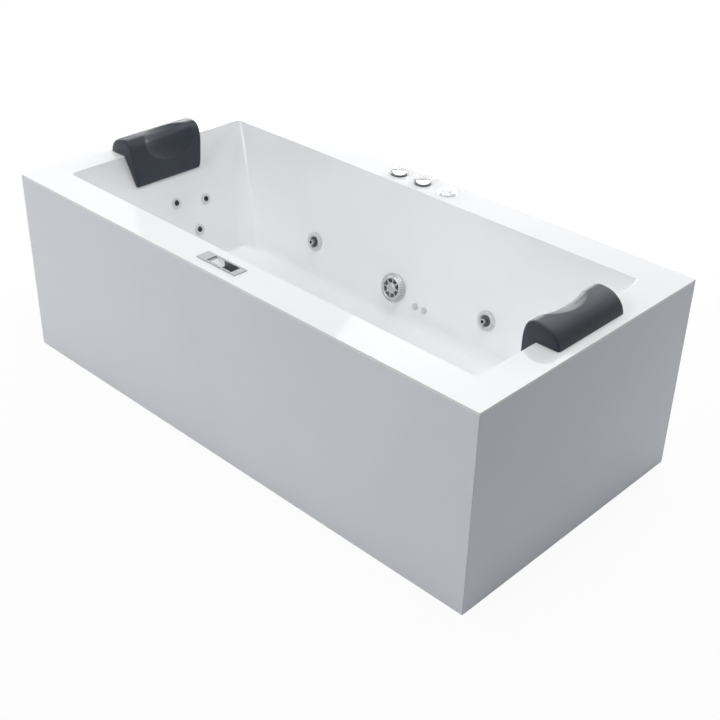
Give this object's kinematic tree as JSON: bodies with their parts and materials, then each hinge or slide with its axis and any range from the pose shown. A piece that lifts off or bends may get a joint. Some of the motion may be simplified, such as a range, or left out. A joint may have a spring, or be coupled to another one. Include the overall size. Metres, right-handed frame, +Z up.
{
  "type": "jetted bathtub",
  "caption": "Rectangular jetted bathtub for a corner: white acrylic shell, two aprons, head pillows, chrome jets and rim controls, with steel frame, pump and pipework.",
  "frame": {"origin": "middle of the bath's footprint, on the room floor", "axes": "+X along the length towards the apron end, +Y from the front apron to the wall side, +Z up"},
  "size_m": [1.8, 0.9, 0.655],
  "materials": {
    "acrylic": "gloss sanitary acrylic",
    "panel": "gloss sanitary acrylic",
    "board": "raw particle board",
    "timber": "raw softwood",
    "steel": "galvanised tube",
    "zinc": "zinc plated",
    "stainless": "brushed",
    "black_plastic": "moulded, matt",
    "dark_plastic": "moulded, satin",
    "grey_plastic": "moulded, satin",
    "white_cap": "gloss",
    "pipe_white": "satin pipe plastic",
    "pipe_grey": "satin pipe plastic",
    "hose_clear": "soft clear hose",
    "cushion": "soft satin foam skin",
    "rubber_black": "matt",
    "chrome_trim": "polished",
    "motor_paint": "satin paint"
  },
  "bodies": {
    "bath": {"tub_shell": "acrylic", "base_board": "board", "rim_battens": "timber", "base_rails": "steel", "frame_posts": "steel", "leg_bars": "steel", "foot_studs": "zinc", "foot_nuts": "zinc", "foot_pads": "black_plastic", "front_apron": "panel", "end_apron": "panel", "apron_strips": "timber", "apron_screws": "zinc", "head_pillow_left": "cushion", "head_pillow_right": "cushion", "jet_bodies": "grey_plastic", "back_jet_faces": "chrome_trim", "back_jet_bodies": "dark_plastic", "wall_nuts": "pipe_white", "wall_gaskets": "rubber_black", "suction_cover": "chrome_trim", "suction_body": "pipe_white", "suction_screw": "stainless", "level_sensors": "chrome_trim", "rim_grip": "chrome_trim", "rim_nuts": "pipe_white", "air_valves": "dark_plastic", "button_body": "chrome_trim", "drain_flange": "chrome_trim", "drain_trap": "pipe_white", "overflow_body": "pipe_white", "overflow_pipe": "pipe_white", "plug_cable": "rubber_black", "pump_motor": "motor_paint", "pump_fan_cover": "black_plastic", "pump_volute": "black_plastic", "pump_mounts": "rubber_black", "pump_bracket": "steel", "water_pipes": "pipe_white", "water_fittings": "pipe_white", "air_pipes": "pipe_grey", "jet_hoses": "hose_clear", "control_box": "black_plastic", "control_leads": "rubber_black"},
    "air_knob_1_body": {"air_knob_1": "chrome_trim"},
    "air_knob_2_body": {"air_knob_2": "chrome_trim"},
    "start_button_body": {"start_button": "white_cap"},
    "overflow_knob_body": {"overflow_knob": "chrome_trim"},
    "drain_plug_body": {"drain_plug": "chrome_trim"},
    "pump_rotor": {"pump_fan": "black_plastic", "pump_shaft": "stainless", "pump_impeller": "grey_plastic"},
    "jet_ring_1_body": {"jet_ring_1": "chrome_trim"},
    "jet_nozzle_1_body": {"jet_nozzle_1": "dark_plastic"},
    "jet_ring_2_body": {"jet_ring_2": "chrome_trim"},
    "jet_nozzle_2_body": {"jet_nozzle_2": "dark_plastic"},
    "jet_ring_3_body": {"jet_ring_3": "chrome_trim"},
    "jet_nozzle_3_body": {"jet_nozzle_3": "dark_plastic"},
    "jet_ring_4_body": {"jet_ring_4": "chrome_trim"},
    "jet_nozzle_4_body": {"jet_nozzle_4": "dark_plastic"}
  },
  "joints": [
    {"name": "jet_ring_1_turn", "type": "hinge", "parent": "bath", "child": "jet_ring_1_body", "pos_m": [-0.36, 0.27381, 0.32], "axis": [0, -0.9732, 0.23], "range_deg": [-90, 90]},
    {"name": "jet_nozzle_1_tilt", "type": "hinge", "parent": "jet_ring_1_body", "child": "jet_nozzle_1_body", "pos_m": [-0.36, 0.27673, 0.31931], "axis": [1, 0, 0], "range_deg": [-15, 15]},
    {"name": "jet_ring_2_turn", "type": "hinge", "parent": "bath", "child": "jet_ring_2_body", "pos_m": [0.36, 0.27381, 0.32], "axis": [0, -0.9732, 0.23], "range_deg": [-90, 90]},
    {"name": "jet_nozzle_2_tilt", "type": "hinge", "parent": "jet_ring_2_body", "child": "jet_nozzle_2_body", "pos_m": [0.36, 0.27673, 0.31931], "axis": [1, 0, 0], "range_deg": [-15, 15]},
    {"name": "jet_ring_3_turn", "type": "hinge", "parent": "bath", "child": "jet_ring_3_body", "pos_m": [0.36, -0.27381, 0.32], "axis": [0, 0.9732, 0.23], "range_deg": [-90, 90]},
    {"name": "jet_nozzle_3_tilt", "type": "hinge", "parent": "jet_ring_3_body", "child": "jet_nozzle_3_body", "pos_m": [0.36, -0.27673, 0.31931], "axis": [-1, 0, 0], "range_deg": [-15, 15]},
    {"name": "jet_ring_4_turn", "type": "hinge", "parent": "bath", "child": "jet_ring_4_body", "pos_m": [-0.36, -0.27381, 0.32], "axis": [0, 0.9732, 0.23], "range_deg": [-90, 90]},
    {"name": "jet_nozzle_4_tilt", "type": "hinge", "parent": "jet_ring_4_body", "child": "jet_nozzle_4_body", "pos_m": [-0.36, -0.27673, 0.31931], "axis": [-1, 0, 0], "range_deg": [-15, 15]},
    {"name": "air_knob_1_turn", "type": "hinge", "parent": "bath", "child": "air_knob_1_body", "pos_m": [-0.112, 0.395, 0.61], "axis": [0, 0, 1], "range_deg": [0, 180]},
    {"name": "air_knob_2_turn", "type": "hinge", "parent": "bath", "child": "air_knob_2_body", "pos_m": [-0.014, 0.395, 0.61], "axis": [0, 0, 1], "range_deg": [0, 180]},
    {"name": "start_button_press", "type": "slide", "parent": "bath", "child": "start_button_body", "axis": [0, 0, -1], "range_m": [0, 0.0035], "stiffness_N_per_m": 400, "springref_m": -0.002},
    {"name": "overflow_knob_turn", "type": "hinge", "parent": "bath", "child": "overflow_knob_body", "pos_m": [0, -0.32109, 0.52], "axis": [0, 0.9732, 0.23], "range_deg": [0, 90]},
    {"name": "drain_plug_lift", "type": "slide", "parent": "bath", "child": "drain_plug_body", "axis": [0, 0, 1], "range_m": [0, 0.008]},
    {"name": "pump_spin", "type": "hinge", "parent": "bath", "child": "pump_rotor", "pos_m": [-0.77, 0.03, 0.17], "axis": [0, 1, 0], "continuous": true}
  ],
  "couplings": [
    {"joint": "drain_plug_lift", "follows": "overflow_knob_turn", "m_per_rad": 0.005092}
  ]
}
